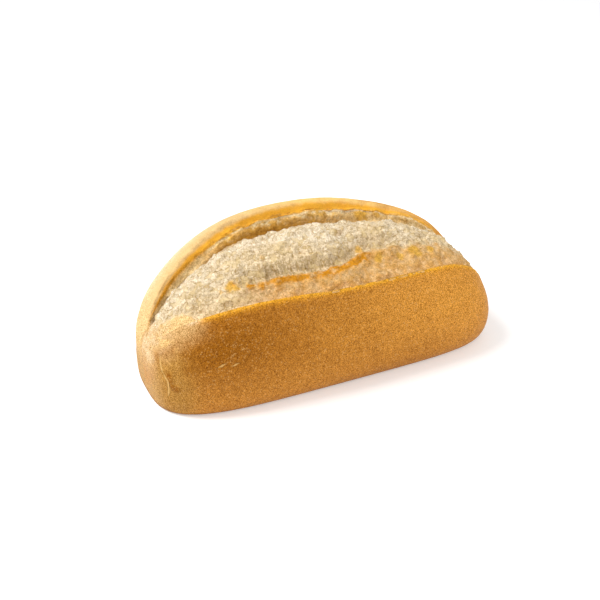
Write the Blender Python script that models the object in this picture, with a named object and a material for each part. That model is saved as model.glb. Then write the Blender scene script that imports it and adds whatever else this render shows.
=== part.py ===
"""A bolillo, a small white bread roll with blunt ends, scored once along its top.

Metres, +Z up. The roll lies along X with its flat underside on Z = 0. In the oven the
score tore wide open: its near lip is on -Y, its far lip is the crest of the roll on +Y,
and between them swells the pale torn crumb, with a crevice under the far lip and a
toasted ridge along the near one.
"""

import bmesh
import bpy
import numpy as np
from mathutils import Vector, noise

# Driving sizes of the whole roll
LENGTH = 0.1507
WIDTH = 0.0698
DOME_HEIGHT = 0.0625
END_POLE_HEIGHT = 0.0121
PEAK_SHIFT = -0.15

# Roundness powers: 2 is an ellipse, more is squarer. Seen from above, left and right end
PLAN_LEFT = 3.45
PLAN_RIGHT = 4.5
PLAN_FOOT = 8.0
# The left end is squarer low down
PLAN_LEFT_LOW = 1.2
# Seen from the side, left and right of the peak
ARCH_LEFT = 1.8
ARCH_RIGHT = 2.4
# Seen from the end, near wall, far wall and foot
NEAR_WALL = 2.0
FAR_WALL = 3.7
FOOT = 2.2
# How far the foot's curve would reach under the floor, and how softly the floor cuts it
UNDER_FLOOR = 0.0090
FLOOR_SOFTNESS = 0.0015

# The score's lips: distance from the middle plane, roundness and reach along the roll
NEAR_LIP = 0.0279
NEAR_LIP_POWER = (2.34, 2.11)
FAR_LIP = 0.0184
FAR_LIP_POWER = (2.0, 2.0)
NEAR_LIP_REACH = (0.969, 1.18)
FAR_LIP_REACH = (0.965, 1.08)
LIP_LIMIT = 0.995
# Past the score's ends the lips' lines spread to this share of the half width
LIP_SPREAD = 0.4
LIP_SPREAD_STRETCH = (0.93, 1.0)
# The torn edge of the crust stands up a little at the near lip
LIP_FLARE = 0.0005
LIP_FLARE_WIDTH = 0.004

# Across the score, from 0 at the near lip to 1 at the far one: height over the straight
# line between the lips, in metres. The left end is one smooth swell with a tight crevice
SCORE_LEFT = [
    (0.00, 0.0), (0.06, -0.0004), (0.20, 0.0015), (0.42, 0.0030), (0.60, 0.0021), (0.72, -0.0001),
    (0.80, -0.0036), (0.84, -0.0062), (0.875, -0.0052), (0.93, -0.0026), (0.98, -0.0003), (1.00, 0.0),
]
# The middle has a step inside the lip, the toasted ridge and the cliff of crumb behind it
SCORE_MIDDLE = [
    (0.00, 0.0), (0.04, -0.0018), (0.11, -0.0010), (0.20, 0.0010), (0.235, 0.0006), (0.27, -0.0006),
    (0.35, 0.0022), (0.48, 0.0033), (0.62, 0.0021), (0.74, -0.0008), (0.80, -0.0030), (0.84, -0.0054),
    (0.88, -0.0026), (0.92, -0.0018), (0.94, -0.0026), (0.975, -0.0004), (1.00, 0.0),
]
# The right end is shallow, and its crevice nearly closes
SCORE_RIGHT = [
    (0.00, 0.0), (0.04, -0.0012), (0.20, 0.0), (0.36, 0.0011), (0.50, 0.0012), (0.64, 0.0003),
    (0.76, -0.0012), (0.82, -0.0024), (0.85, -0.0028), (0.88, -0.0012), (0.92, -0.0010), (0.95, -0.0016),
    (1.00, 0.0),
]
LEFT_FADES = (-0.66, -0.40)
RIGHT_FADES = (0.26, 0.56)
# The ridge and the cliff slant away from the near lip over this stretch
SLANT_STRETCH = (-0.05, 0.28)
RIDGE_SLANT = 0.12
SLANT_RISE = (0.05, 0.22)
SLANT_FALL = (0.35, 0.70)
# The score closes over these stretches of the half length
CLOSING_LEFT = (0.86, 0.97)
CLOSING_RIGHT = (0.88, 1.0)

# Torn crumb lumps and the crust's slow unevenness
LUMP_SIZE = 0.0075
LUMP_HEIGHT = 0.0011
SHELF_LUMP_HEIGHT = 0.0012
WAVE_SIZE = 0.032
WAVE_HEIGHT = 0.0007
# Where across the score the crumb and the shelf under the far lip have their lumps
CRUMB_RISE = (0.02, 0.12)
CRUMB_FALL = (0.76, 0.84)
SHELF_RISE = (0.84, 0.90)
SHELF_FALL = (0.96, 1.0)
# The relief fades in over the foot, and what is this near to the floor lies on it
FLOOR_FADE = 0.008
FLOOR_SNAP = 0.00002

# Mesh: rings along the roll, and columns round each ring
RINGS = 76
FAR_COLUMNS = 19
SCORE_COLUMNS = 27
NEAR_COLUMNS = 18
COLUMNS = FAR_COLUMNS + SCORE_COLUMNS + NEAR_COLUMNS
# The crevice side of the score, beyond the second number, takes this share of its columns
CREVICE_SHARE = 0.37
CREVICE_SIDE = 0.78
SECTION_SAMPLES = 300


def rounding(t, left, right):
    """A bow that is 1 in the middle and 0 at t = -1 and 1, with a power for each half."""
    power = np.where(t < 0, left, right)
    return np.clip(1 - np.abs(t) ** power, 0, 1) ** (1 / power)


def smooth(low, high, value):
    """A soft step from 0 at low to 1 at high."""
    u = np.clip((value - low) / (high - low), 0, 1)
    return u * u * (3 - 2 * u)


def half_width(t):
    return WIDTH / 2 * rounding(t, PLAN_LEFT, PLAN_RIGHT)


def dome_rise(t):
    """Height of the uncut dome over the end poles."""
    shifted = t - PEAK_SHIFT * (1 - t * t)
    return (DOME_HEIGHT - END_POLE_HEIGHT) * rounding(shifted, ARCH_LEFT, ARCH_RIGHT)


def dome_z(t, y):
    """Height of the uncut dome at y."""
    across = np.clip(np.abs(y) / np.maximum(half_width(t), 1e-9), 0, 1)
    power = np.where(y < 0, NEAR_WALL, FAR_WALL)
    return END_POLE_HEIGHT + dome_rise(t) * (1 - across ** power) ** (1 / power)


def lip_y(t, distance, power, reach):
    place = t / np.where(t < 0, *reach)
    least = LIP_SPREAD * smooth(*LIP_SPREAD_STRETCH, np.abs(t))
    return np.clip(distance * rounding(place, *power), least * half_width(t), LIP_LIMIT * half_width(t))


def near_lip_y(t):
    return -lip_y(t, NEAR_LIP, NEAR_LIP_POWER, NEAR_LIP_REACH)


def far_lip_y(t):
    return lip_y(t, FAR_LIP, FAR_LIP_POWER, FAR_LIP_REACH)


def crust_section(t, low, high):
    """Points of the crust between two angles: 0 is far, 90 degrees up, 180 near."""
    angle = low + (high - low) * np.linspace(0, 1, SECTION_SAMPLES)
    c, s = np.cos(angle), np.sin(angle)
    upper = np.where(c > 0, FAR_WALL, NEAR_WALL)
    power = np.where(s > 0, upper, FOOT)
    foot_depth = (END_POLE_HEIGHT + UNDER_FLOOR) * rounding(t, PLAN_FOOT, PLAN_FOOT)
    reach = np.where(s > 0, dome_rise(t), foot_depth)
    plan = rounding(t, PLAN_LEFT + PLAN_LEFT_LOW * np.maximum(-s, 0), PLAN_RIGHT)
    y = WIDTH / 2 * plan * np.sign(c) * np.abs(c) ** (2 / power)
    z = END_POLE_HEIGHT + reach * np.sign(s) * np.abs(s) ** (2 / power)
    return y, floor_cut(z)


def floor_cut(z):
    """The floor flattens what would lie under it, with a small soft turn."""
    turn = (z + FLOOR_SOFTNESS) ** 2 / (4 * FLOOR_SOFTNESS)
    return np.where(z < -FLOOR_SOFTNESS, 0, np.where(z > FLOOR_SOFTNESS, z, turn))


def curve(knots, value):
    """A smooth line through knots, as a cubic between each two of them."""
    x, y = np.array(knots).T
    slope = np.gradient(y, x)
    i = np.clip(np.searchsorted(x, value, side="right") - 1, 0, len(x) - 2)
    span = x[i + 1] - x[i]
    u = np.clip((value - x[i]) / span, 0, 1)
    rise = (2 * u ** 3 - 3 * u ** 2 + 1) * y[i] + (3 * u ** 2 - 2 * u ** 3) * y[i + 1]
    return rise + span * ((u ** 3 - 2 * u ** 2 + u) * slope[i] + (u ** 3 - u ** 2) * slope[i + 1])


def score_relief(t, q):
    """Height over the straight line from lip to lip, for a score that is fully open."""
    left = 1 - smooth(*LEFT_FADES, t)
    right = smooth(*RIGHT_FADES, t)
    slant = RIDGE_SLANT * smooth(*SLANT_STRETCH, t) * smooth(*SLANT_RISE, q) * (1 - smooth(*SLANT_FALL, q))
    relief = (1 - left - right) * curve(SCORE_MIDDLE, q - slant)
    return relief + left * curve(SCORE_LEFT, q) + right * curve(SCORE_RIGHT, q)


def openness(t):
    """1 where the score is wide open, 0 where it has closed."""
    left = 1 - smooth(*CLOSING_LEFT, -t)
    return left * (1 - smooth(*CLOSING_RIGHT, t))


def score_section(t, q):
    """Points of the torn crumb at q, from the near lip to the far one."""
    near, far = near_lip_y(t), far_lip_y(t)
    near_z, far_z = dome_z(t, near), dome_z(t, far)
    y = near + (far - near) * q
    open_z = near_z + (far_z - near_z) * q + score_relief(t, q)
    share = openness(t)
    return y, open_z * share + dome_z(t, y) * (1 - share)


def score_places(index):
    """Places across the score of columns counted from the far lip, 2 and -1 for the crust."""
    shares = [0, CREVICE_SHARE, 1]
    return np.interp(index / SCORE_COLUMNS, shares, [1, CREVICE_SIDE, 0], left=2, right=-1)


def even_steps(y, z, count):
    """Points at equal steps along a section, its last one left to the next stretch."""
    run = np.concatenate([[0], np.cumsum(np.hypot(np.diff(y), np.diff(z)))])
    steps = np.linspace(0, run[-1], count + 1)[:-1]
    return np.interp(steps, run, y), np.interp(steps, run, z)


def ring(t):
    """One closed section of the roll: far crust, score and near crust, from the underside up."""
    width = max(half_width(t), 1e-9)
    far_angle = np.arccos(np.clip(far_lip_y(t) / width, 0, 1) ** (FAR_WALL / 2))
    near_angle = np.pi - np.arccos(np.clip(-near_lip_y(t) / width, 0, 1) ** (NEAR_WALL / 2))
    far = even_steps(*crust_section(t, -np.pi / 2, far_angle), FAR_COLUMNS)
    score = score_section(t, score_places(np.arange(SCORE_COLUMNS)))
    near_y, near_z = even_steps(*crust_section(t, near_angle, 1.5 * np.pi), NEAR_COLUMNS)
    flare = LIP_FLARE * openness(t) * np.exp(-np.abs(near_z[0] - near_z) / LIP_FLARE_WIDTH)
    near = near_y, near_z + flare
    y, z = (np.concatenate(pair) for pair in zip(far, score, near))
    return np.stack([np.full_like(y, t * LENGTH / 2), y, z], axis=-1)


def ring_places():
    """Places of the rings, evenly apart along the roll's outline from above."""
    t = np.sin(np.linspace(-np.pi / 2, np.pi / 2, 4001))
    step = np.hypot(np.diff(t) * LENGTH / 2, np.diff(half_width(t)))
    run = np.concatenate([[0], np.cumsum(step)])
    return np.interp(np.linspace(0, run[-1], RINGS + 1), run, t)


def surface_normals(points):
    """Outward directions of a grid of points, whose columns close round each ring."""
    wrapped = np.concatenate([points[:, -1:], points, points[:, :1]], axis=1)
    around = wrapped[:, 2:] - wrapped[:, :-2]
    along = np.gradient(points, axis=0)
    normal = np.cross(around, along)
    length = np.linalg.norm(normal, axis=-1, keepdims=True)
    return -normal / np.maximum(length, 1e-12)


def uneven(points, size, octaves):
    """Fractal noise, about -1 to 1, whose largest features have the given size."""
    shape = points.shape[:-1]
    flat = points.reshape(-1, 3) / size
    values = [noise.fractal(Vector(point), 1.0, 2.0, octaves) for point in flat]
    return np.array(values).reshape(shape)


def torn_mask(t):
    """How much each column of a ring belongs to the crumb, and how much to the shelf."""
    q = score_places(np.arange(COLUMNS) - FAR_COLUMNS)
    share = openness(t)[:, None]
    crumb = smooth(*CRUMB_RISE, q) * (1 - smooth(*CRUMB_FALL, q)) * share
    shelf = smooth(*SHELF_RISE, q) * (1 - smooth(*SHELF_FALL, q)) * share
    return crumb, shelf


def roll_points():
    """The grid of the roll's surface: one row for each ring."""
    t = ring_places()
    points = np.array([ring(place) for place in t])
    normals = surface_normals(points)
    crumb, shelf = torn_mask(t)
    lumps = uneven(points, LUMP_SIZE, 2)
    wave = uneven(points, WAVE_SIZE, 1)
    offset = lumps * (crumb * LUMP_HEIGHT + shelf * SHELF_LUMP_HEIGHT)
    offset = offset + wave * WAVE_HEIGHT
    offset = offset * smooth(0.0, FLOOR_FADE, points[..., 2])
    points = points + normals * offset[..., None]
    points[..., 2] = np.where(points[..., 2] < FLOOR_SNAP, 0, points[..., 2])
    return points


def centred(points):
    """The middle of the bounding box over the origin."""
    low, high = points.min(axis=(0, 1)), points.max(axis=(0, 1))
    return points - np.array([(low[0] + high[0]) / 2, (low[1] + high[1]) / 2, 0])


def roll_mesh():
    """A UV sphere with its poles turned to the roll's ends, each vertex moved to the grid."""
    points = centred(roll_points())
    bm = bmesh.new()
    bmesh.ops.create_uvsphere(bm, u_segments=COLUMNS, v_segments=RINGS, radius=1)
    for vertex in bm.verts:
        x, y, z = vertex.co
        row = round((1 - np.arccos(np.clip(z, -1, 1)) / np.pi) * RINGS)
        turn = np.arctan2(y, x) / (2 * np.pi) + 0.25
        vertex.co = points[row, round(turn * COLUMNS) % COLUMNS]
    bmesh.ops.triangulate(bm, faces=bm.faces)
    mesh = bpy.data.meshes.new("bolillo_roll")
    bm.to_mesh(mesh)
    bm.free()
    mesh.shade_smooth()
    return mesh


def crust_material():
    material = bpy.data.materials.new("golden_crust")
    material.use_nodes = True
    shader = material.node_tree.nodes["Principled BSDF"]
    shader.inputs["Base Color"].default_value = (0.55, 0.27, 0.07, 1)
    shader.inputs["Roughness"].default_value = 0.6
    shader.inputs["Metallic"].default_value = 0.0
    return material


def clear_scene():
    for item in list(bpy.data.objects):
        bpy.data.objects.remove(item)


def build():
    clear_scene()
    collection = bpy.data.collections.new("bolillo")
    bpy.context.scene.collection.children.link(collection)
    roll = bpy.data.objects.new("bolillo_roll", roll_mesh())
    roll.data.materials.append(crust_material())
    collection.objects.link(roll)


build()
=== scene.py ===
"""Looks of a bolillo, a small white roll torn wide open along its score, on a plain floor.

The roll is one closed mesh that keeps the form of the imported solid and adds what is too
fine for it: torn, floury crumb, ragged lips and a blistered crust. Metres, +Z up; the roll
lies along X and its near lip is on -Y.
"""

import math

import bpy
import numpy as np
from bpy.props import FloatProperty, FloatVectorProperty, PointerProperty
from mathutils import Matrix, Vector, noise


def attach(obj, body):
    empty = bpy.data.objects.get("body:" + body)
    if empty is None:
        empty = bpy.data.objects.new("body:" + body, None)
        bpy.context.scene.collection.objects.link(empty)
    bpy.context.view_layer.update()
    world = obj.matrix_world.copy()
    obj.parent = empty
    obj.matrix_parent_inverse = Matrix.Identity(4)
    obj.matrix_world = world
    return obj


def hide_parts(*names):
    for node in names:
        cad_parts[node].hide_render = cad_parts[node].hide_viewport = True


bl_info = {
    "name": "Bolillo roll",
    "version": (1, 0, 0),
    "blender": (4, 5, 0),
    "location": "3D view, sidebar, Bread",
    "description": "A crusty roll torn open along its score, and a plain stage to show it on",
    "category": "Object",
}

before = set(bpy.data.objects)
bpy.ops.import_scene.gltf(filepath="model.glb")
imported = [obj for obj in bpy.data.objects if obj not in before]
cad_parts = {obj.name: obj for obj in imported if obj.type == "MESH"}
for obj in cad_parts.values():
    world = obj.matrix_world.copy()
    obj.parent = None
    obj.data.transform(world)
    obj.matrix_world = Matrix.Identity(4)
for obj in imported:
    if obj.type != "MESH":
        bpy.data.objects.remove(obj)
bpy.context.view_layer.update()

NODE = "bolillo_roll"

# Form of the whole roll, as in the solid: heights, and roundness powers, where 2 is an
# ellipse and more is squarer, from above, from the side and from the end
DOME_HEIGHT = 0.0625
END_POLE_HEIGHT = 0.0121
PEAK_SHIFT = -0.15
PLAN_LEFT = 3.45
PLAN_RIGHT = 4.5
PLAN_FOOT = 8.0
PLAN_LEFT_LOW = 1.2
ARCH_LEFT = 1.8
ARCH_RIGHT = 2.4
NEAR_WALL = 2.0
FAR_WALL = 3.7
FOOT = 2.2
UNDER_FLOOR = 0.0090
FLOOR_SOFTNESS = 0.0015

# The score's lips: distance from the middle plane, roundness and reach along the roll
NEAR_LIP = 0.0279
NEAR_LIP_POWER = (2.34, 2.11)
FAR_LIP = 0.0184
FAR_LIP_POWER = (2.0, 2.0)
NEAR_LIP_REACH = (0.969, 1.18)
FAR_LIP_REACH = (0.965, 1.08)
LIP_LIMIT = 0.995
LIP_SPREAD = 0.4
LIP_SPREAD_STRETCH = (0.93, 1.0)
LIP_FLARE = 0.0005
LIP_FLARE_WIDTH = 0.004

# Across the score, from 0 at the near lip to 1 at the far one: height over the straight
# line between the lips, at the left end, in the middle and at the right end
SCORE_LEFT = [
    (0.00, 0.0), (0.06, -0.0004), (0.20, 0.0015), (0.42, 0.0030), (0.60, 0.0021), (0.72, -0.0001),
    (0.80, -0.0036), (0.84, -0.0062), (0.875, -0.0052), (0.93, -0.0026), (0.98, -0.0003), (1.00, 0.0),
]
SCORE_MIDDLE = [
    (0.00, 0.0), (0.04, -0.0018), (0.11, -0.0010), (0.20, 0.0010), (0.235, 0.0006), (0.27, -0.0006),
    (0.35, 0.0022), (0.48, 0.0033), (0.62, 0.0021), (0.74, -0.0008), (0.80, -0.0030), (0.84, -0.0054),
    (0.88, -0.0026), (0.92, -0.0018), (0.94, -0.0026), (0.975, -0.0004), (1.00, 0.0),
]
SCORE_RIGHT = [
    (0.00, 0.0), (0.04, -0.0012), (0.20, 0.0), (0.36, 0.0011), (0.50, 0.0012), (0.64, 0.0003),
    (0.76, -0.0012), (0.82, -0.0024), (0.85, -0.0028), (0.88, -0.0012), (0.92, -0.0010), (0.95, -0.0016),
    (1.00, 0.0),
]
LEFT_FADES = (-0.66, -0.40)
RIGHT_FADES = (0.26, 0.56)
SLANT_STRETCH = (-0.05, 0.28)
RIDGE_SLANT = 0.12
SLANT_RISE = (0.05, 0.22)
SLANT_FALL = (0.35, 0.70)
CLOSING_LEFT = (0.86, 0.97)
CLOSING_RIGHT = (0.88, 1.0)

# Unevenness that the solid has too
LUMP_SIZE = 0.0075
LUMP_HEIGHT = 0.0011
LUMPS_RISE = (0.02, 0.12)
LUMPS_FALL = (0.76, 0.84)
SHELF_LUMP_HEIGHT = 0.0012
SHELF_LUMPS_RISE = (0.84, 0.90)
SHELF_LUMPS_FALL = (0.96, 1.0)
WAVE_SIZE = 0.032
WAVE_HEIGHT = 0.0007
FLOOR_FADE = 0.008

# At the left end a soft flap of crust reaches over the near lip
FLAP_REACH = 0.0052
FLAP_RISE = (0.74, 0.82)
FLAP_FALL = (0.91, 0.955)
FLAP_BLUR = 0.0025
LIP_BLUR = 0.0005

# Across the score, the torn strip begins at the crevice and ends at the far lip's smooth band;
# towards the left end the crevice shifts nearer to the far lip
CREVICE = 0.838
CREVICE_SHIFT = 0.035
CREVICE_SHIFTS = (0.55, 0.80)
BAND_EDGE = 0.935
STRIP_BLUR = 0.006

# Middle and reach, across the score, of the strip's rope and of the groove under the band
ROPE = (0.893, 0.026)
GROOVE = (0.930, 0.017)

# The crumb's ridge across the score, and where along it and over it the crumb is tan, toasted
# and drawn out into a cliff
RIDGE = 0.205
TAN_STARTS = (-0.66, -0.30)
TAN_SPREADS = (0.25, 0.60)
TOAST_STARTS = (-0.44, -0.34)
TOAST_ENDS = (0.20, 0.27)
TOAST_MIDDLE = -0.014
TOAST_REACH = (0.033, 0.056)
# CLIFF also places painted shade on the crumb over the ridge
CLIFF = (0.075, 0.050)
CLIFF_FADES = (0.02, 0.2)

# Soft spots, as places along and across the score, radius and strength: lightly toasted and
# toasted places of the crumb, golden tops of the torn strip, and browner stains of the crumb
GOLD_SPOTS = [
    (-0.556, 0.25, 0.0029, 1.0), (-0.475, 0.23, 0.0020, 0.8), (-0.62, 0.22, 0.0012, 0.6),
    (0.28, 0.26, 0.0022, 1.0), (0.40, 0.24, 0.0020, 0.9), (0.515, 0.26, 0.0030, 1.0),
    (0.61, 0.27, 0.0018, 0.9), (-0.36, 0.42, 0.0014, 0.5), (0.19, 0.37, 0.0020, 0.9),
]
TOAST_SPOTS = [
    (-0.475, 0.205, 0.0016, 0.9), (-0.425, 0.175, 0.0018, 0.9), (-0.385, 0.185, 0.0013, 0.8),
    (-0.545, 0.285, 0.0010, 0.6), (0.20, 0.35, 0.0015, 0.9),
]
STRIP_SPOTS = [
    (0.115, 0.905, 0.0030, 1.0), (0.37, 0.885, 0.0042, 1.0), (0.47, 0.90, 0.0026, 0.8),
    (0.20, 0.90, 0.0016, 0.8),
]
STAINS = [(0.108, 0.527, 0.0020, 0.7), (0.135, 0.55, 0.0014, 0.6), (-0.30, 0.66, 0.0015, 0.5)]

# Radii over which a spot fades out, and how ragged it is
SPOT_EDGE = (0.55, 1.25)
SPOT_RAGGEDNESS = 0.45

# Fine raised creases in the crust of the left end, as lines through places on the surface
CREASES = [
    [(-0.0721, -0.0138, 0.0221), (-0.0726, -0.0149, 0.0206), (-0.0728, -0.0169, 0.0186)],
    [
        (-0.0725, -0.0186, 0.0171), (-0.0721, -0.0206, 0.0155), (-0.0718, -0.0208, 0.0131),
        (-0.0719, -0.0206, 0.0103),
    ],
    [(-0.0536, -0.0295, 0.0226), (-0.0529, -0.0297, 0.0230)],
    [(-0.0486, -0.0308, 0.0226), (-0.0482, -0.0309, 0.0227)],
]

# Distances from a crease over which its mask and its line fade out
CREASE_MASK = (0.0010, 0.0018)
CREASE_EDGE = (0.00026, 0.00062)

# Dents there, with painted shade in them: place, radius and strength
DENTS = [
    (-0.0710, -0.0202, 0.0176, 0.0014, 1.0), (-0.0711, -0.0212, 0.0160, 0.0012, 0.8),
    (-0.0703, -0.0221, 0.0137, 0.0014, 1.0), (-0.0695, -0.0231, 0.0131, 0.0014, 1.0),
    (-0.0547, -0.0238, 0.0348, 0.0014, 0.8), (-0.0641, -0.0234, 0.0261, 0.0028, 0.6),
    (-0.0646, -0.0253, 0.0215, 0.0028, 0.6),
]
DENT_DEPTH = 0.0004

# Noises: size of the largest features, octaves and seed, and for cells size and seed
SLOW = (0.012, 2, 7.7)
RAGGED = (0.003, 3, 3.1)
SPOT_OUTLINE = (0.0022, 2, 4.4)
ROUGH = (0.0011, 2, 5.3)
HOLLOWS = (0.0042, 2, 8.8)
STRANDS = (0.0016, 2, 9.1)
STRANDS_DRAWN = (1.0, 0.22, 0.22)
SKIN_WAVES = (0.007, 2, 6.2)
SKIN_PEBBLES = (0.002, 1, 1.2)
PATCHES = (0.016, 3, 2.2)
FLECKS = (0.003, 2, 8.3)
BLOTCHES = (0.0045, 2, 7.1)
GILDING = (0.005, 2, 5.9)
CLUMPS = (0.0030, 1.7)
GRAINS = (0.00125, 2.9)
MOUNDS = (0.0058, 3.3)

# Heights of the fine relief, which the solid doesn't have
CLUMP_HEIGHT = 0.0011
BEAD_HEIGHT = 0.0008
ROUGH_HEIGHT = 0.0004
MOUND_HEIGHT = 0.0010
HOLLOW_DEPTH = 0.0006
STRAND_HEIGHT = 0.0007
TOAST_HEIGHT = 0.0004
ROPE_HEIGHT = 0.0006
STRIP_CLUMP_HEIGHT = 0.0009
STRIP_BEAD_HEIGHT = 0.0005
LOW_SPOT_RANGE = 0.0024
SKIN_WAVE_HEIGHT = 0.00012
SKIN_PEBBLE_HEIGHT = 0.00005

# Crust colours: soft steps along the roll, counted towards the right end
TURNS_GOLDEN = (-0.85, 0.75)
CREST_TURNS_GOLDEN = (-0.40, 0.12)
CREST_FADES = (0.35, 0.90)
LIP_STARTS = (-0.80, -0.72)

# Crust colours: soft steps along the roll, counted towards the left end
NOSE_STARTS = (0.78, 0.92)
TIP_STARTS = (0.955, 0.995)
PALE_STARTS = (0.68, 0.84)
PALE_DEEPENS = (0.75, 0.90)
FAR_PALE_STARTS = (0.55, 0.85)
FLOUR_STARTS = (0.86, 0.96)
BLOTCHES_START = (0.84, 0.92)

# Crust colours: middle and reach of places along the roll, and depth and reach below a lip
DARK_PATCH = (-0.70, 0.24)
DARK_PATCH_DEPTH = (0.0130, 0.0085)
DARK_FOOT = (0.28, 0.34)
WORN = (-0.63, 0.13)
WORN_DEPTH = (0.0135, 0.0055)
# RIM_HIGHLIGHT and its depth place a painted highlight along the far crest's rim
RIM_HIGHLIGHT = (-0.62, 0.25)
RIM_HIGHLIGHT_DEPTH = (0.012, 0.006)
FLAP_EDGE = (-0.765, 0.045)

# Crust colours: soft steps of height over the floor
FOOT_HEIGHTS = (0.004, 0.026)
TIP_HEIGHTS = (0.020, 0.030)
PALE_HEIGHTS = (0.008, 0.022)
FLOUR_HEIGHTS = (0.012, 0.019)
BLOTCH_HEIGHTS = (0.021, 0.028)
UNDERSIDE_HEIGHTS = (0.0002, 0.0025)

# Crust colours: soft steps of depth, below a lip or inside the score
NOSE_DEPTHS = (0.006, 0.012)
PALE_DEPTHS = (0.0, 0.010)
FAR_PALE_DEPTHS = (0.010, 0.034)
CREST_DEPTHS = (0.008, 0.034)
FLOUR_DEPTHS = (-0.001, 0.008)
FLAP_EDGE_DEPTHS = (0.0003, 0.0016)
LIP_DEPTHS = (0.0002, 0.0034)
LIP_EDGE_DEPTHS = (0.0004, 0.0014)
BAND_DEPTHS = (0.0014, 0.0034)

# How far the pale part of the left end goes from baked crust to pale crust
PALE_SHARE = 0.59

# Colours of the torn strip: soft steps along it and across it
STRIP_TURNS_LUMPY = (-0.25, 0.45)
STRIP_GILDED = (0.52, 0.74)
STRIP_PALER = (0.45, 0.70)
# A painted highlight along the rope's top, and painted shade between the lumps and in the crevice at the
# strip's bottom
ROPE_HIGHLIGHT = (0.904, 0.012)
STRIP_GAPS_END = (0.885, 0.905)
STRIP_BOTTOM = (0.018, 0.046)

# Fine grain of the material: features to a metre
MOTTLE_SCALE = 420.0
FINE_SCALE = 1300.0
DUST_SCALE = 3200.0
SPECK_SCALE = 950.0
WRINKLE_SCALE = 330.0
GRAIN_SCALE = 1400.0
THREAD_SCALE = 1100.0
THREAD_DRAWN = (1.0, 0.2, 0.2)
WARP_SCALE = 500.0
WARP_REACH = 0.0016
KERNEL_SCALE = 430.0
KERNELET_SCALE = 900.0

# How much a grain changes red, green and blue, and the finish of the material
GRAIN_TINT = (0.85, 1.0, 1.35)
CRUST_ROUGHNESS = 0.50
CRUMB_ROUGHER_BY = 0.40
SHINE = 0.06
BUMP_STRENGTH = 0.8
BUMP_DEPTH = 0.0005

# Mesh: rings along the roll, and columns round each ring
RINGS = 335
FAR_COLUMNS = 56
SCORE_COLUMNS = 150
NEAR_COLUMNS = 90
COLUMNS = FAR_COLUMNS + SCORE_COLUMNS + NEAR_COLUMNS
SCORE_STEP_KNOTS = ([0, 0.30, 1], [1, 0.78, 0])
SECTION_SAMPLES = 600
OUTLINE_SAMPLES = 4001

# Stage: where the photograph shows the point (0, 0, AIM_HEIGHT), in its 600 pixel frame
AIM_HEIGHT = 0.028
AIM_PIXEL = (315.69, 290.15)
FRAME_PIXELS = 600
FOCAL_PIXELS = 900
SENSOR_MM = 36.0

# Stage: floor, background, and place, size and watts of each lamp
FLOOR_SIZE = 12.0
FLOOR_ROUGHNESS = 0.8
FLOOR_GLOW = 0.30
BACKGROUND_STRENGTH = 0.55
LAMP_TARGET = (0, 0, 0.02)
LAMPS = {
    "key": ((-0.55, 0.25, 0.85), 0.6, 9.0),
    "fill": ((0.5, -0.9, 0.7), 0.9, 5.0),
}


def rounding(t, left, right):
    """A bow that is 1 in the middle and 0 at t = -1 and 1, with a power for each half."""
    power = np.where(t < 0, left, right)
    return np.clip(1 - np.abs(t) ** power, 0, 1) ** (1 / power)


def smooth(low, high, value):
    """A soft step from 0 at low to 1 at high."""
    u = np.clip((value - low) / (high - low), 0, 1)
    return u * u * (3 - 2 * u)


def hump(value, centre, reach):
    """A soft bump of height 1 round centre."""
    return np.exp(-(((value - centre) / reach) ** 2))


def curve(knots, value):
    """A smooth line through knots, as a cubic between each two of them."""
    x, y = np.array(knots).T
    slope = np.gradient(y, x)
    i = np.clip(np.searchsorted(x, value, side="right") - 1, 0, len(x) - 2)
    span = x[i + 1] - x[i]
    u = np.clip((value - x[i]) / span, 0, 1)
    rise = (2 * u ** 3 - 3 * u ** 2 + 1) * y[i] + (3 * u ** 2 - 2 * u ** 3) * y[i + 1]
    return rise + span * ((u ** 3 - 2 * u ** 2 + u) * slope[i] + (u ** 3 - u ** 2) * slope[i + 1])


def fractal(points, size, octaves=1, seed=0.0):
    """Fractal noise, about -1 to 1, whose largest features have the given size in metres."""
    scaled = points.reshape(-1, 3) / size + seed
    values = [noise.fractal(Vector(point), 1.0, 2.0, octaves) for point in scaled]
    return np.array(values).reshape(points.shape[:-1])


def cells(points, size, seed=0.0):
    """Distance to the nearest of scattered cell centres, 0 at a centre and about 1 between."""
    scaled = points.reshape(-1, 3) / size + seed
    values = [noise.voronoi(Vector(point))[0][0] for point in scaled]
    return np.array(values).reshape(points.shape[:-1])


def stretched(points, size, octaves, seed):
    """Fractal noise drawn out into strands across the roll."""
    return fractal(points * np.array(STRANDS_DRAWN), size, octaves, seed)


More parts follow.
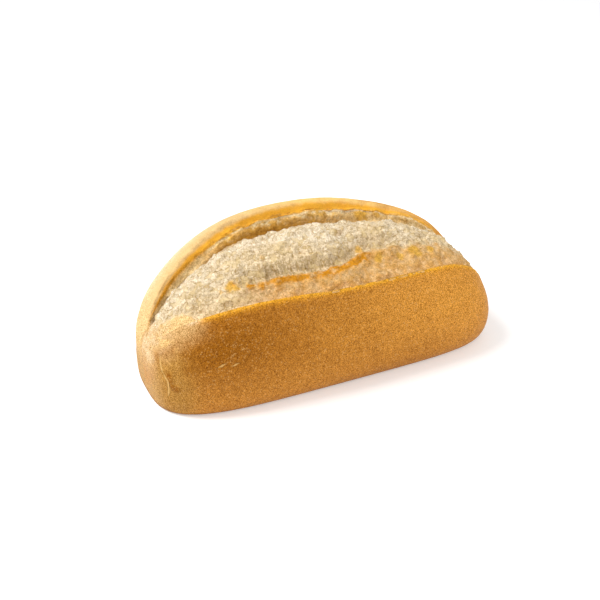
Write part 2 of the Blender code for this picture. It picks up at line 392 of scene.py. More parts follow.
class Loaf:
    """The roll's form, from its length and width."""

    def __init__(self, length, width):
        self.length = length
        self.width = width

    def half_width(self, t):
        return self.width / 2 * rounding(t, PLAN_LEFT, PLAN_RIGHT)

    def dome_rise(self, t):
        """Height of the uncut dome over the end poles."""
        shifted = t - PEAK_SHIFT * (1 - t * t)
        return (DOME_HEIGHT - END_POLE_HEIGHT) * rounding(shifted, ARCH_LEFT, ARCH_RIGHT)

    def dome_z(self, t, y):
        """Height of the uncut dome at y."""
        across = np.clip(np.abs(y) / np.maximum(self.half_width(t), 1e-9), 0, 1)
        power = np.where(y < 0, NEAR_WALL, FAR_WALL)
        return END_POLE_HEIGHT + self.dome_rise(t) * (1 - across ** power) ** (1 / power)

    def lip_y(self, t, distance, power, reach):
        place = t / np.where(t < 0, *reach)
        widest = self.half_width(t)
        least = LIP_SPREAD * smooth(*LIP_SPREAD_STRETCH, np.abs(t)) * widest
        return np.clip(distance * rounding(place, *power), least, LIP_LIMIT * widest)

    def near_lip_y(self, t):
        return -self.lip_y(t, NEAR_LIP, NEAR_LIP_POWER, NEAR_LIP_REACH)

    def far_lip_y(self, t):
        return self.lip_y(t, FAR_LIP, FAR_LIP_POWER, FAR_LIP_REACH)

    def crust_section(self, t, low, high):
        """Points of the crust between two angles: 0 is far, 90 degrees up, 180 near."""
        angle = low + (high - low) * np.linspace(0, 1, SECTION_SAMPLES)
        c, s = np.cos(angle), np.sin(angle)
        upper = np.where(c > 0, FAR_WALL, NEAR_WALL)
        power = np.where(s > 0, upper, FOOT)
        foot_depth = (END_POLE_HEIGHT + UNDER_FLOOR) * rounding(t, PLAN_FOOT, PLAN_FOOT)
        reach = np.where(s > 0, self.dome_rise(t), foot_depth)
        plan = rounding(t, PLAN_LEFT + PLAN_LEFT_LOW * np.maximum(-s, 0), PLAN_RIGHT)
        y = self.width / 2 * plan * np.sign(c) * np.abs(c) ** (2 / power)
        z = END_POLE_HEIGHT + reach * np.sign(s) * np.abs(s) ** (2 / power)
        return y, floor_cut(z)

    def score_section(self, t, q):
        """Points of the torn crumb at q, from the near lip to the far one."""
        near, far = self.near_lip_y(t), self.far_lip_y(t)
        near_z, far_z = self.dome_z(t, near), self.dome_z(t, far)
        y = near + (far - near) * q
        open_z = near_z + (far_z - near_z) * q + score_relief(t, q)
        share = openness(t)
        return y, open_z * share + self.dome_z(t, y) * (1 - share)

    def ring(self, t):
        """One closed section: far crust, score and near crust, from the underside up."""
        width = max(self.half_width(t), 1e-9)
        far_angle = np.arccos(np.clip(self.far_lip_y(t) / width, 0, 1) ** (FAR_WALL / 2))
        near_angle = np.pi - np.arccos(np.clip(-self.near_lip_y(t) / width, 0, 1) ** (NEAR_WALL / 2))
        far = even_steps(*self.crust_section(t, -np.pi / 2, far_angle), FAR_COLUMNS)
        score = self.score_section(t, score_steps())
        near_y, near_z = even_steps(*self.crust_section(t, near_angle, 1.5 * np.pi), NEAR_COLUMNS)
        flare = LIP_FLARE * openness(t) * np.exp(-np.abs(near_z[0] - near_z) / LIP_FLARE_WIDTH)
        y, z = (np.concatenate(pair) for pair in zip(far, score, (near_y, near_z + flare)))
        return np.stack([np.full_like(y, t * self.length / 2), y, z], axis=-1)

    def ring_places(self):
        """Places of the rings, evenly apart along the roll's outline from above."""
        t = np.sin(np.linspace(-np.pi / 2, np.pi / 2, OUTLINE_SAMPLES))
        step = np.hypot(np.diff(t) * self.length / 2, np.diff(self.half_width(t)))
        run = np.concatenate([[0], np.cumsum(step)])
        return np.interp(np.linspace(0, run[-1], RINGS + 1), run, t)


def floor_cut(z):
    """The floor flattens what would lie under it, with a small soft turn."""
    turn = (z + FLOOR_SOFTNESS) ** 2 / (4 * FLOOR_SOFTNESS)
    return np.where(z < -FLOOR_SOFTNESS, 0, np.where(z > FLOOR_SOFTNESS, z, turn))


def score_relief(t, q):
    """Height over the straight line from lip to lip, for a score that is fully open."""
    left = 1 - smooth(*LEFT_FADES, t)
    right = smooth(*RIGHT_FADES, t)
    slant = RIDGE_SLANT * smooth(*SLANT_STRETCH, t)
    slant = slant * smooth(*SLANT_RISE, q) * (1 - smooth(*SLANT_FALL, q))
    relief = (1 - left - right) * curve(SCORE_MIDDLE, q - slant)
    return relief + left * curve(SCORE_LEFT, q) + right * curve(SCORE_RIGHT, q)


def openness(t):
    """1 where the score is wide open, 0 where it has closed."""
    left = 1 - smooth(*CLOSING_LEFT, -t)
    return left * (1 - smooth(*CLOSING_RIGHT, t))


def score_steps():
    """Places of the columns across the score, closer together in the crevice."""
    return np.interp(np.arange(SCORE_COLUMNS) / SCORE_COLUMNS, *SCORE_STEP_KNOTS)


def even_steps(y, z, count):
    """Points at equal steps along a section, its last one left to the next stretch."""
    run = np.concatenate([[0], np.cumsum(np.hypot(np.diff(y), np.diff(z)))])
    steps = np.linspace(0, run[-1], count + 1)[:-1]
    return np.interp(steps, run, y), np.interp(steps, run, z)


def surface_normals(points):
    """Outward directions of the grid, whose columns close round each ring."""
    wrapped = np.concatenate([points[:, -1:], points, points[:, :1]], axis=1)
    around = wrapped[:, 2:] - wrapped[:, :-2]
    along = np.gradient(points, axis=0)
    normal = -np.cross(around, along)
    length = np.linalg.norm(normal, axis=-1, keepdims=True)
    return normal / np.maximum(length, 1e-12)


class Surface:
    """The grid of the roll's surface, a row for each ring, with its colours and masks."""

    def __init__(self, loaf):
        self.t = loaf.ring_places()[:, None]
        self.points = np.array([loaf.ring(place) for place in self.t[:, 0]])
        index = np.arange(COLUMNS) - FAR_COLUMNS
        q = np.interp(index, np.arange(SCORE_COLUMNS), score_steps(), left=2, right=-1)
        self.q = np.broadcast_to(q, self.points.shape[:2])
        self.share = np.broadcast_to(openness(self.t), self.q.shape)
        self.shape_solid()
        self.centre()
        self.measure_gaps()

    def shape_solid(self):
        """The unevenness that the solid has."""
        crumb = smooth(*LUMPS_RISE, self.q) * (1 - smooth(*LUMPS_FALL, self.q)) * self.share
        shelf = smooth(*SHELF_LUMPS_RISE, self.q) * (1 - smooth(*SHELF_LUMPS_FALL, self.q)) * self.share
        offset = fractal(self.points, LUMP_SIZE, 2) * (crumb * LUMP_HEIGHT + shelf * SHELF_LUMP_HEIGHT)
        offset = offset + fractal(self.points, WAVE_SIZE, 1) * WAVE_HEIGHT
        self.push(offset)

    def centre(self):
        """Brings the middle of the bounding box over the origin."""
        low, high = self.points.min(axis=(0, 1)), self.points.max(axis=(0, 1))
        self.points = self.points - np.array([(low[0] + high[0]) / 2, (low[1] + high[1]) / 2, 0])

    def push(self, offset):
        """Moves the surface outward, but never its underside."""
        offset = offset * smooth(0.0, FLOOR_FADE, self.points[..., 2])
        self.points = self.points + surface_normals(self.points) * offset[..., None]

    def measure_gaps(self):
        """Distances along each ring from the near lip and the far lip, positive inside the score."""
        step = np.linalg.norm(np.diff(self.points, axis=1), axis=-1)
        run = np.concatenate([np.zeros((len(step), 1)), np.cumsum(step, axis=1)], axis=1)
        near_column = FAR_COLUMNS + SCORE_COLUMNS
        self.from_near = run[:, near_column:near_column + 1] - run
        self.from_far = run - run[:, FAR_COLUMNS:FAR_COLUMNS + 1]

    def noised(self, mask, sample, *settings):
        """A noise, taken only where the mask is above 0."""
        values = np.zeros(mask.shape)
        chosen = mask > 0
        values[chosen] = sample(self.points[chosen], *settings)
        return values

    def spots(self, places):
        """Soft ragged spots, each at its place along and across the score."""
        ragged = fractal(self.points, *SPOT_OUTLINE)
        total = np.zeros(self.q.shape)
        for t, q, radius, strength in places:
            row = np.abs(self.t[:, 0] - t).argmin()
            column = np.abs(self.q[row] - q).argmin()
            gap = np.linalg.norm(self.points - self.points[row, column], axis=-1)
            spot = 1 - smooth(*SPOT_EDGE, gap / radius + SPOT_RAGGEDNESS * ragged)
            total = np.maximum(total, strength * spot)
        return total

    def find_parts(self):
        """Masks of the torn crumb, the torn strip under the far lip, and the crust's own places."""
        t, q = self.t, self.q
        slow = fractal(self.points, *SLOW)
        ragged = fractal(self.points, *RAGGED)
        low = -self.from_near
        flap = FLAP_REACH * smooth(*FLAP_RISE, -t) * (1 - smooth(*FLAP_FALL, -t))
        soft = LIP_BLUR + FLAP_BLUR * smooth(*FLAP_RISE, -t)
        inside = smooth(0.0, 1.0, (self.from_near - flap + ragged * soft * 0.5) / soft)
        inside = np.where(q > 1, 0, inside) * (1 - smooth(0.93, 1.0, q))
        torn = inside * smooth(0.0, 0.5, self.share)
        crevice = CREVICE + CREVICE_SHIFT * smooth(*CREVICE_SHIFTS, -t)
        past_crevice = smooth(-STRIP_BLUR, STRIP_BLUR, q - crevice)
        band_edge = BAND_EDGE + 0.016 * slow + 0.012 * ragged
        past_edge = smooth(-STRIP_BLUR, STRIP_BLUR, q - band_edge)
        self.crumb = torn * (1 - past_crevice)
        self.shelf = torn * past_crevice * (1 - past_edge)
        self.band = past_edge * self.share
        # Past the flap the crust of the left end's nose is floury
        nose = smooth(*FLOUR_STARTS, -t + 0.02 * ragged)
        nose = nose * (1 - smooth(*FLOUR_DEPTHS, low + 0.005 * ragged))
        nose = nose * smooth(*FLOUR_HEIGHTS, self.points[..., 2])
        self.nose = nose * (1 - smooth(-0.03, 0.0, q - crevice))
        self.worn = np.where(q < 0, hump(t, *WORN) * hump(low, *WORN_DEPTH), 0)
        self.find_ridge(slow, ragged)

    def find_ridge(self, slow, ragged):
        """Masks of the crumb's ridge, toasted in the middle, and of the tan crumb below it."""
        t, q = self.t, self.q
        self.middle = smooth(*LEFT_FADES, t) * (1 - smooth(*RIGHT_FADES, t))
        ridge_q = RIDGE + RIDGE_SLANT * smooth(*SLANT_STRETCH, t)
        self.over_ridge = q - ridge_q + 0.010 * slow
        spread = smooth(*TAN_SPREADS, t)
        border = self.over_ridge + (0.02 + 0.05 * spread) * ragged
        below = 1 - smooth(-0.015 - 0.04 * spread, 0.030 + 0.04 * spread, border)
        self.tan = self.crumb * below * smooth(*TAN_STARTS, t)
        along = smooth(*TOAST_STARTS, t) * (1 - smooth(*TOAST_ENDS, t))
        line = 1 - smooth(*TOAST_REACH, np.abs(self.over_ridge - TOAST_MIDDLE) + 0.020 * ragged)
        self.toast = self.crumb * along * line * smooth(-0.85, 0.0, ragged + 0.6 * slow)
        self.gold = self.crumb * self.spots(GOLD_SPOTS)

    def tear(self):
        """Relief of the torn places: clumps, grains, strands and hollows."""
        crumb, shelf = self.crumb, self.shelf
        torn = np.maximum(crumb, shelf)
        clumps = self.noised(torn, cells, *CLUMPS)
        grains = self.noised(torn, cells, *GRAINS)
        rough = self.noised(torn, fractal, *ROUGH)
        hollows = smooth(0.30, 0.75, self.noised(crumb, fractal, *HOLLOWS))
        mounds = self.noised(crumb, cells, *MOUNDS)
        strands = self.noised(crumb, stretched, *STRANDS)
        cliff = crumb * self.middle * hump(self.over_ridge, *CLIFF)
        cliff = cliff * (1 - 0.7 * smooth(*CLIFF_FADES, self.t))
        calm = (1 - 0.45 * self.tan) * (0.3 + 0.7 * smooth(0.0, 0.0028, self.from_near))
        domes = 0.7 - clumps ** 2
        beads = 0.7 - grains ** 2
        relief = CLUMP_HEIGHT * domes + BEAD_HEIGHT * beads + ROUGH_HEIGHT * rough
        relief = crumb * calm * relief
        mounded = MOUND_HEIGHT * (0.5 - mounds ** 2) * (1 - cliff)
        relief = relief + crumb * (mounded - HOLLOW_DEPTH * calm * hollows)
        relief = relief + cliff * STRAND_HEIGHT * strands + self.toast * TOAST_HEIGHT
        strip = ROPE_HEIGHT * hump(self.q, *ROPE) + STRIP_CLUMP_HEIGHT * domes + STRIP_BEAD_HEIGHT * beads
        relief = relief + shelf * strip
        self.push(relief)
        # Where the relief lies low, the crumb's colours paint shade
        self.low_spots = np.clip(0.5 - relief / LOW_SPOT_RANGE, 0, 1) * torn
        smooth_lip = self.band * (1 - smooth(0.002, 0.012, -self.from_far))
        self.calm = np.max([smooth_lip, self.tan, self.toast, self.gold], axis=0)
        self.mounds = mounds
        self.hollows = hollows * crumb
        self.cliff = cliff
        self.lumps = 0.6 * domes + 0.4 * beads

    def wrinkle(self):
        """Small unevenness of the crust."""
        crust = 1 - np.maximum(self.crumb, self.shelf)
        skin = SKIN_WAVE_HEIGHT * fractal(self.points, *SKIN_WAVES)
        skin = skin + SKIN_PEBBLE_HEIGHT * fractal(self.points, *SKIN_PEBBLES)
        self.dents = np.zeros(self.q.shape)
        for *place, radius, strength in DENTS:
            gap = np.linalg.norm(self.points - np.array(place), axis=-1)
            self.dents = np.maximum(self.dents, strength * hump(gap, 0, radius))
        self.push(crust * (skin - DENT_DEPTH * self.dents))
        self.crease, self.creased = gap_to_lines(self.points, surface_normals(self.points), CREASES)

    def paint(self, look):
        """Colours of the surface, from the crust inward."""
        self.patchy = fractal(self.points, *PATCHES)
        self.ragged = fractal(self.points, *FLECKS)
        self.lumpy = smooth(*STRIP_TURNS_LUMPY, self.t)
        colour = self.baked_crust(look)
        colour = self.pale_end(look, colour)
        colour = self.golden_crest(look, colour)
        colour = self.floury_nose(look, colour)
        colour = blend(colour, look.underside, 1 - smooth(*UNDERSIDE_HEIGHTS, self.points[..., 2]))
        colour = self.baked_lips(look, colour)
        colour = blend(colour, self.crumb_colours(look), self.crumb)
        colour = blend(colour, self.strip_colours(look), self.shelf)
        groove = hump(self.q, *GROOVE) * self.share
        self.colours = blend(colour, look.band, groove * (1 - 0.15 * self.lumpy))

    def baked_crust(self, look):
        """The crust, golden at the right end and darkest in a patch of the near wall."""
        t, q, z = self.t, self.q, self.points[..., 2]
        low, patchy = -self.from_near, self.patchy
        colour = blend(np.array(look.wall_brown), look.wall_gold, smooth(*TURNS_GOLDEN, t + 0.10 * patchy))
        dark = np.where(q < 0, 1.0, 0.0) * hump(t, *DARK_PATCH) * hump(low, *DARK_PATCH_DEPTH)
        colour = blend(colour, look.dark_crust_and_shade, 0.8 * dark)
        rise = 1 - smooth(*FOOT_HEIGHTS, z + 0.003 * patchy)
        colour = blend(colour, look.foot, 0.9 * rise)
        colour = blend(colour, look.dark_crust_and_shade, 0.30 * rise * hump(t, *DARK_FOOT))
        under_pale = np.where(q > 1, 1.0, smooth(*NOSE_DEPTHS, low))
        return blend(colour, look.nose, 0.9 * smooth(*NOSE_STARTS, -t) * under_pale)

    def pale_end(self, look, colour):
        """The less baked upper part of the left end, and painted shade in its dents."""
        t, z = self.t, self.points[..., 2]
        patchy, ragged = self.patchy, self.ragged
        tip = smooth(*TIP_STARTS, -t) * (1 - smooth(*TIP_HEIGHTS, z))
        colour = blend(colour, look.pale, 0.25 * tip)
        deep = 0.001 + 0.001 * smooth(*PALE_DEEPENS, -t)
        below = smooth(*PALE_DEPTHS, -self.from_near - deep + 0.0015 * ragged + 0.002 * patchy)
        end = smooth(*PALE_STARTS, -t + 0.04 * patchy) * (PALE_SHARE - PALE_SHARE * below)
        far_end = smooth(*FAR_PALE_STARTS, -t + 0.10 * patchy)
        far_end = far_end * (1 - smooth(*FAR_PALE_DEPTHS, -self.from_far))
        pale = np.where(self.q > 1, far_end, end) * smooth(*PALE_HEIGHTS, z)
        colour = blend(colour, look.pale, pale)
        # Painted shade in the dents of the left end
        return blend(colour, look.dark_crust_and_shade, self.dents)

    def golden_crest(self, look, colour):
        """The crust along the far lip, and a painted highlight along its rim."""
        t, q = self.t, self.q
        crest = np.where(q > 1, 1 - smooth(*CREST_DEPTHS, -self.from_far + 0.004 * self.patchy), 1.0)
        crest = np.where(q < 0, 0.0, crest)
        golden = smooth(*CREST_TURNS_GOLDEN, t + 0.16 * self.patchy)
        top = blend(np.array(look.pale), look.crest, golden)
        colour = blend(colour, top, crest * self.share * (1 - 0.75 * smooth(*CREST_FADES, t)))
        # Painted highlight: pale cream along the rim of the far crest, towards the left
        rim_highlight = np.where(q > 1, hump(-self.from_far, *RIM_HIGHLIGHT_DEPTH), 0) * hump(t, *RIM_HIGHLIGHT)
        return blend(colour, look.cream_and_highlight, 0.9 * rim_highlight * self.share)

    def floury_nose(self, look, colour):
        """Flour and golden blotches on the left end, and the pale edge of its flap."""
        t, z = self.t, self.points[..., 2]
        flour = self.nose * smooth(-0.45, 0.25, self.ragged + 0.6 * self.patchy)
        colour = blend(colour, look.cream_and_highlight, 0.34 * flour)
        blotches = smooth(0.05, 0.40, fractal(self.points, *BLOTCHES)) * smooth(*BLOTCHES_START, -t)
        colour = blend(colour, look.crest, 0.45 * blotches * smooth(*BLOTCH_HEIGHTS, z) * (self.q < 0.3))
        edge = hump(t, *FLAP_EDGE) * (1 - smooth(*FLAP_EDGE_DEPTHS, np.abs(self.from_near)))
        return blend(colour, look.cream_and_highlight, 0.7 * edge)

    def baked_lips(self, look, colour):
        """Browner edges of the near lip, with a brighter line along the very edge that is partly a painted
        highlight, and the smooth band under the far one.
        """
        low, q = -self.from_near, self.q
        glow = np.where(q < 0, 1.0, 0.0) * self.share * smooth(*LIP_STARTS, self.t)
        under = 1 - smooth(*LIP_DEPTHS, low + 0.0006 * self.ragged)
        colour = blend(colour, look.lip, 0.85 * glow * under)
        # Brighter line along the near lip's edge: partly its toasted edge, partly a painted highlight
        colour = blend(colour, look.lip_edge, 0.8 * glow * (1 - smooth(*LIP_EDGE_DEPTHS, low)))
        inner = np.where(q <= 1, smooth(*BAND_DEPTHS, self.from_far + 0.0005 * self.ragged), 0)
        return blend(colour, look.band, self.band * inner)

    def crumb_colours(self, look):
        """The torn crumb: paler and more floury towards the far lip and the left end, partly a painted
        highlight on its upper side, with painted shade in its hollows and over the ridge.
        """
        # Paler towards the far lip: partly floury crumb, partly a painted highlight on the crumb's upper
        # side
        floury_and_lit = smooth(-0.25, 0.55, (self.q - 0.42) * 1.4 - 0.22 * self.t + 0.35 * self.patchy)
        crumb = blend(np.array(look.crumb), look.flour, 0.9 * floury_and_lit)
        # Painted shade on the drawn-out crumb over the ridge, whose steep side is turned from the light
        crumb = blend(crumb, look.shade, 0.68 * self.cliff)
        # The tan crumb is paler on the tops of its lumps: a painted highlight
        crumb = blend(crumb, look.tan, 0.95 * self.tan * (1 - 0.35 * smooth(0.25, 0.60, self.lumps)))
        # Painted shade in the crumb's low spots, its hollows and the valleys between its mounds
        crumb = blend(crumb, look.hollow_shade, 0.75 * smooth(0.52, 0.95, self.low_spots) * (1 - 0.8 * self.tan))
        crumb = blend(crumb, look.hollow_shade, 0.45 * self.hollows * (1 - self.tan))
        crumb = blend(crumb, look.hollow_shade, 0.25 * smooth(0.70, 1.0, self.mounds) * (1 - self.cliff))
        crumb = blend(crumb, look.stain, self.spots(STAINS))
        crumb = blend(crumb, look.gold, 0.95 * self.gold)
        return blend(crumb, look.toast, np.maximum(self.toast, self.spots(TOAST_SPOTS)))

    def strip_colours(self, look):
        """The torn strip: painted shade in its crevice and between its lumps, paler lump tops and a painted
        highlight along its rope, gilded at the left and lumpy at the right.
        """
        t, q, lumpy = self.t, self.q, self.lumpy
        torn = blend(np.array(look.torn), look.pale_lumps_and_highlight, 0.55 * lumpy)
        gilt = smooth(0.05, 0.5, fractal(self.points, *GILDING)) * (1 - 0.7 * lumpy)
        torn = blend(torn, look.gold, 0.8 * gilt)
        # Paler tops of the lumps: partly pale lumps, partly a painted highlight
        heads = smooth(0.44, 0.60, self.lumps) * (0.68 + 0.27 * lumpy)
        torn = blend(torn, look.pale_lumps_and_highlight, heads)
        torn = blend(torn, look.gold, self.spots(STRIP_SPOTS))
        # Painted shade between the lumps and in the crevice at the bottom of the strip
        gaps = (1 - smooth(0.10, 0.30, self.lumps)) * (1 - smooth(*STRIP_GAPS_END, q))
        torn = blend(torn, look.crevice, 0.65 * gaps)
        bottom = 1 - smooth(*STRIP_BOTTOM, q - CREVICE + 0.012 * self.ragged)
        torn = blend(torn, look.crevice, (1 - 0.65 * lumpy) * bottom)
        # Painted highlight along the top of the rope
        rope_highlight = hump(q, *ROPE_HIGHLIGHT) * smooth(-0.5, 0.1, self.ragged)
        torn = blend(torn, blend(np.array(look.pale_lumps_and_highlight), look.flour, lumpy), 0.8 * rope_highlight)
        torn = blend(torn, look.gold, 0.6 * smooth(*STRIP_GILDED, -t))
        return blend(torn, look.pale_lumps_and_highlight, 0.62 * smooth(*STRIP_PALER, -t))


def gap_to_lines(points, normals, lines):
    """Distance along the surface to the nearest line, below 0 on one side, and a mask round it."""
    nearest = np.full(points.shape[:-1], np.inf)
    signed = np.zeros(points.shape[:-1])
    for corners in np.array([pair for line in lines for pair in zip(line, line[1:])]):
        start, end = corners
        along = end - start
        share = np.clip((points - start) @ along / (along @ along), 0, 1)
        gap = points - start - share[..., None] * along
        distance = np.linalg.norm(gap, axis=-1)
        gap = gap - (gap * normals).sum(axis=-1, keepdims=True) * normals
        side = np.sign((np.cross(along, gap) * normals).sum(axis=-1))
        signed = np.where(distance < nearest, side * np.linalg.norm(gap, axis=-1), signed)
        nearest = np.minimum(nearest, distance)
    return signed, 1 - smooth(*CREASE_MASK, nearest)


def blend(first, second, share):
    """From the first colour to the second, by a share for each point."""
    share = np.asarray(share)[..., None]
    return first * (1 - share) + np.asarray(second) * share


def grid_of(mesh):
    """Row and column in the grid for each vertex of a UV sphere with its poles along X."""
    co = np.empty(len(mesh.vertices) * 3, dtype=np.float32)
    mesh.vertices.foreach_get("co", co)
    x, y, z = co.reshape(-1, 3).astype(float).T
    row = np.rint((1 - np.arccos(np.clip(z, -1, 1)) / np.pi) * RINGS).astype(int)
    turn = np.arctan2(y, x) / (2 * np.pi) + 0.25
    column = np.rint(turn * COLUMNS).astype(int) % COLUMNS
    return row, column


def roll_object(surface):
    """A UV sphere with its poles turned to the roll's ends, each vertex moved to the grid."""
    bpy.ops.mesh.primitive_uv_sphere_add(segments=COLUMNS, ring_count=RINGS, radius=1, calc_uvs=False)
    roll = bpy.context.object
    mesh = roll.data
    row, column = grid_of(mesh)
    mesh.vertices.foreach_set("co", surface.points[row, column].astype(np.float32).ravel())
    masks = {
        "crumb": surface.crumb,
        "torn": surface.shelf,
        "calm": surface.calm,
        "strands": surface.cliff,
        "worn": surface.worn,
        "crease": surface.crease,
        "creased": surface.creased,
    }
    for name, values in masks.items():
        layer = mesh.attributes.new(name, "FLOAT", "POINT")
        layer.data.foreach_set("value", values[row, column].astype(np.float32))
    tint = np.ones((len(row), 4), dtype=np.float32)
    tint[:, :3] = surface.colours[row, column]
    layer = mesh.attributes.new("tint", "FLOAT_COLOR", "POINT")
    layer.data.foreach_set("color", tint.ravel())
    mesh.shade_smooth()
    mesh.update()
    return roll


class Wire:
    """A value or colour in a material, on which sums add Math nodes."""

    def __init__(self, tree, socket=None):
        self.tree = tree
        self.socket = socket

    def node(self, kind, settings=None, inputs=None, output=0):
        """Any node: its settings, then the values or links of its sockets."""
        node = self.tree.nodes.new(kind)
        for key, value in (settings or {}).items():
            setattr(node, key, value)
        for key, value in (inputs or {}).items():
            if isinstance(value, Wire):
                self.tree.links.new(value.socket, node.inputs[key])
            else:
                node.inputs[key].default_value = value
        return Wire(self.tree, node.outputs[output] if node.outputs else None)

    def math(self, operation, first, second=0.0):
        return self.node("ShaderNodeMath", {"operation": operation}, {0: first, 1: second})

    def __add__(self, other):
        return self.math("ADD", self, other)

    def __radd__(self, other):
        return self.math("ADD", other, self)

    def __sub__(self, other):
        return self.math("SUBTRACT", self, other)

    def __rsub__(self, other):
        return self.math("SUBTRACT", other, self)

    def __mul__(self, other):
        return self.math("MULTIPLY", self, other)

    def __rmul__(self, other):
        return self.math("MULTIPLY", other, self)

    def clamped(self):
        settings = {"operation": "MULTIPLY", "use_clamp": True}
        return self.node("ShaderNodeMath", settings, {0: self, 1: 1.0})

    def step(self, low, high):
        """A soft step from 0 at low to 1 at high."""
        settings = {"interpolation_type": "SMOOTHSTEP"}
        inputs = {"Value": self, "From Min": low, "From Max": high}
        return self.node("ShaderNodeMapRange", settings, inputs)

    def between(self, zero, one):
        """The colour that goes from zero to one as this value goes from 0 to 1."""
        settings = {"data_type": "RGBA"}
        return self.node("ShaderNodeMix", settings, {"Factor": self, 6: zero, 7: one}, 2)

    def grained(self, shift):
        """This colour, paler where shift is over 0, and darker and yellower where it is under."""
        inputs = {0: shift, 1: GRAIN_TINT, 2: (1.0, 1.0, 1.0)}
        factor = self.node("ShaderNodeVectorMath", {"operation": "MULTIPLY_ADD"}, inputs)
        return self.node("ShaderNodeVectorMath", {"operation": "MULTIPLY"}, {0: self, 1: factor})

    def attribute(self, name):
        return self.node("ShaderNodeAttribute", {"attribute_name": name}, output="Fac")

    def speckle(self, place, per_metre, detail=2.0, roughness=0.5, distortion=0.0):
        inputs = {
            "Vector": place,
            "Scale": per_metre,
            "Detail": detail,
            "Roughness": roughness,
            "Distortion": distortion,
        }
        return self.node("ShaderNodeTexNoise", None, inputs)

    def dots(self, place, per_metre):
        """Distance to the nearest of scattered points, in cells."""
        inputs = {"Vector": place, "Scale": per_metre}
        return self.node("ShaderNodeTexVoronoi", {"feature": "F1"}, inputs)

    def kernels(self, place, per_metre):
        """A value of its own for each of scattered cells."""
        inputs = {"Vector": place, "Scale": per_metre}
        colour = self.node("ShaderNodeTexVoronoi", {"feature": "F1"}, inputs, "Color")
        return self.node("ShaderNodeSeparateColor", None, {0: colour})

    def seams(self, place, per_metre):
        """Distance to the nearest seam between scattered cells."""
        inputs = {"Vector": place, "Scale": per_metre}
        return self.node("ShaderNodeTexVoronoi", {"feature": "DISTANCE_TO_EDGE"}, inputs, "Distance")

    def offset(self, middle):
        """How far this value is from middle."""
        return self.math("ABSOLUTE", self - middle)


def rgba(colour):
    return (*colour, 1.0)


